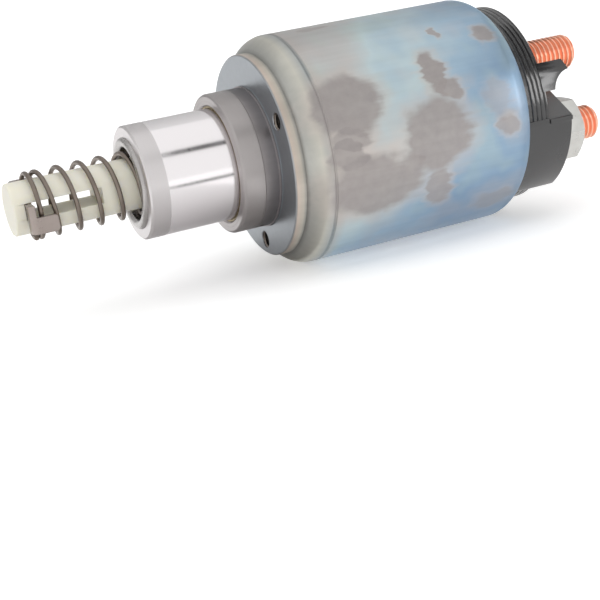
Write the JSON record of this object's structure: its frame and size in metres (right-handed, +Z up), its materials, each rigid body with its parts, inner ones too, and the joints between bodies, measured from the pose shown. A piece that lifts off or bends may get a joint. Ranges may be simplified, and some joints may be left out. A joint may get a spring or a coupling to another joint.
{
  "type": "starter motor solenoid",
  "caption": "Cylindrical starter solenoid with bolting flange, sliding steel plunger, sprung slotted pull rod, and a black terminal cap with threaded copper studs.",
  "frame": {"origin": "centre of the mounting flange's front face, on the plunger's axis", "axes": "+X along the plunger from the pull rod towards the terminals; the slot in the pull rod passes through along Y; +Z is up, and the fixing holes lie at 30, 150 and 270 degrees from +Y towards +Z"},
  "size_m": [0.1731, 0.065, 0.065],
  "materials": {
    "zinc_plate": "satin zinc plate, passivated blue, with dull grey-brown blotches",
    "turned_steel": "fine turned steel",
    "polished_steel": "ground and polished",
    "pressed_steel": "satin pressed sheet",
    "spring_steel": "grey-brown oiled wire",
    "rod_steel": "bright drawn steel",
    "brass_tube": "drawn brass",
    "nylon": "natural moulded nylon, slightly clear",
    "bobbin_plastic": "glass-filled moulding",
    "winding": "enamelled copper wire",
    "tape": "varnished paper tape",
    "phenolic": "black moulded phenolic, half gloss",
    "copper": "bright copper",
    "tin_plate": "tin-plated brass",
    "nut_plate": "pale zinc plate",
    "seal_rubber": "moulded rubber"
  },
  "bodies": {
    "housing": {"housing": "zinc_plate", "guide_ring": "turned_steel", "guide_sleeve": "brass_tube", "coil_bobbin": "bobbin_plastic", "pull_in_winding": "winding", "hold_in_winding": "winding", "coil_wrap": "tape", "fixed_core": "turned_steel", "core_plate": "turned_steel", "cap_gasket": "seal_rubber", "terminal_cap": "phenolic", "battery_stud": "copper", "motor_stud": "copper", "battery_seal": "seal_rubber", "motor_seal": "seal_rubber", "battery_keeper": "rod_steel", "motor_nut": "nut_plate", "control_terminal": "tin_plate", "return_spring": "spring_steel", "contact_return_spring": "spring_steel"},
    "plunger": {"plunger": "polished_steel", "spring_cup": "pressed_steel", "pull_rod": "nylon", "engagement_spring": "spring_steel"},
    "spring_clip": {"spring_clip": "pressed_steel"},
    "contact": {"contact_rod": "rod_steel", "contact_bush": "bobbin_plastic", "contact_bridge": "copper", "contact_washer": "bobbin_plastic", "contact_circlip": "rod_steel", "pressure_spring": "spring_steel"}
  },
  "joints": [
    {"name": "plunger_slide", "type": "slide", "parent": "housing", "child": "plunger", "axis": [1, 0, 0], "range_m": [0, 0.012], "stiffness_N_per_m": 1500, "springref_m": -0.01, "deforming": ["return_spring"]},
    {"name": "clip_slide", "type": "slide", "parent": "plunger", "child": "spring_clip", "axis": [1, 0, 0], "range_m": [0, 0.012], "stiffness_N_per_m": 800, "springref_m": -0.01, "deforming": ["engagement_spring"]},
    {"name": "contact_slide", "type": "slide", "parent": "housing", "child": "contact", "axis": [1, 0, 0], "range_m": [0, 0.003], "deforming": ["contact_return_spring"]}
  ],
  "couplings": [
    {"joint": "contact_slide", "follows": "plunger_slide", "ratio": 0.25}
  ]
}
